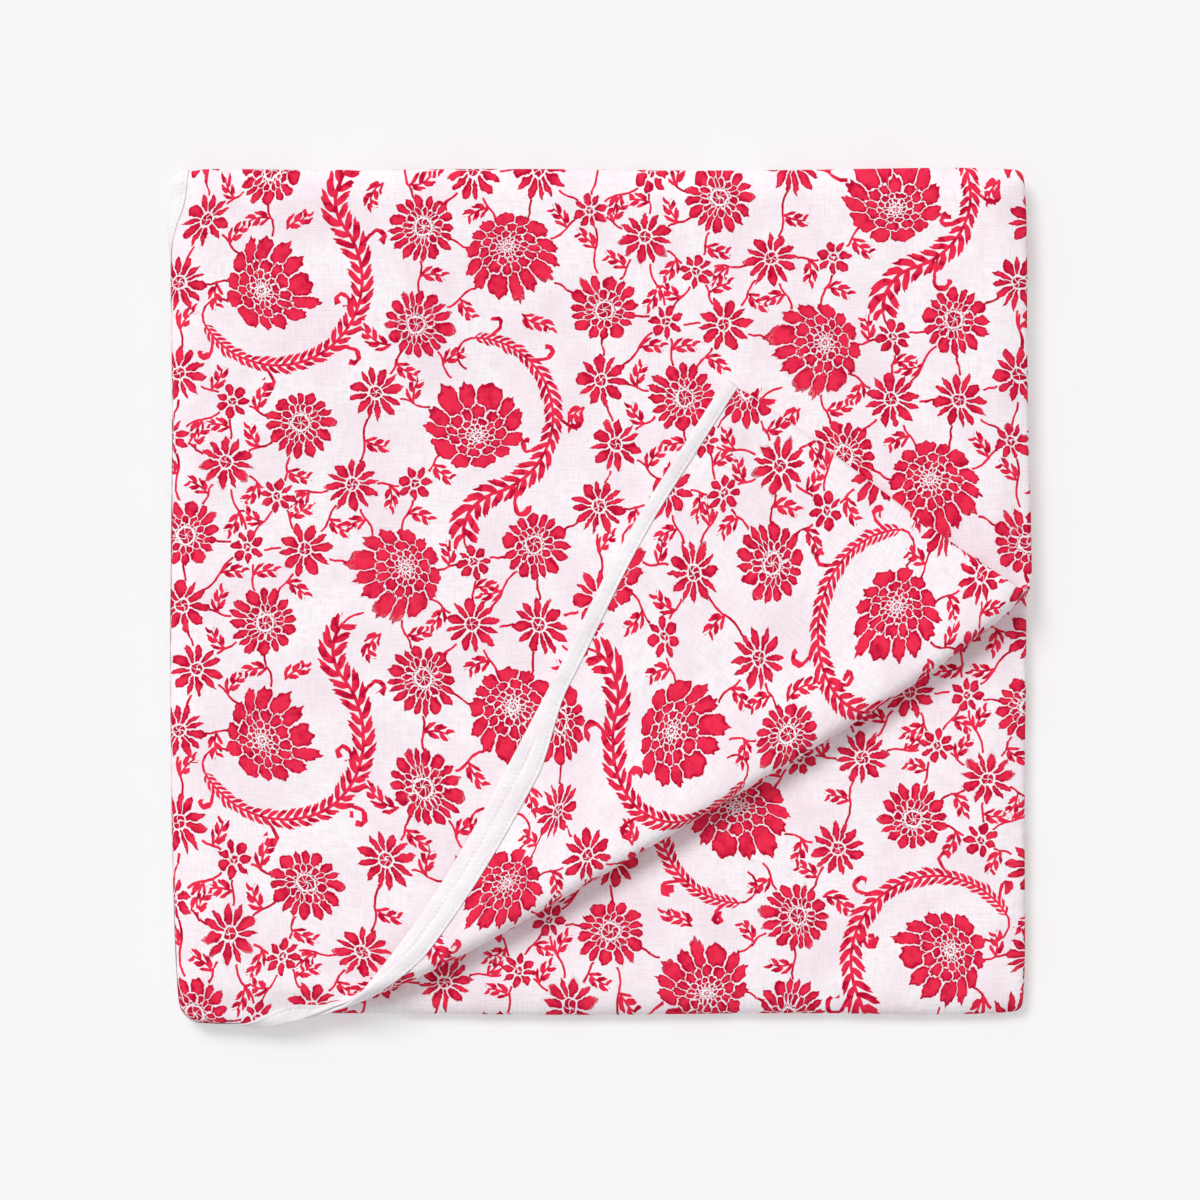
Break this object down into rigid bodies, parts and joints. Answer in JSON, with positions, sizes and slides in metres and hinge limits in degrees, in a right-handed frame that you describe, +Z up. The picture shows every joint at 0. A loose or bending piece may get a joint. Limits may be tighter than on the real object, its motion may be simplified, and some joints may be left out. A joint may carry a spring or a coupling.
{
  "type": "crib quilt",
  "caption": "Light cotton crib quilt folded to a flat square pad, one corner turned back to show its bound edge.",
  "frame": {"origin": "centre of the folded pad's outline, on the surface it rests on", "axes": "+Z up out of the pad, +X towards the long side fold, +Y towards the top fold"},
  "size_m": [0.5024, 0.4974, 0.0426],
  "materials": {
    "printed_cotton": "matt printed cotton",
    "plain_cotton": "matt plain cotton"
  },
  "bodies": {
    "root": {"quilt": "printed_cotton", "binding": "plain_cotton"}
  },
  "joints": []
}
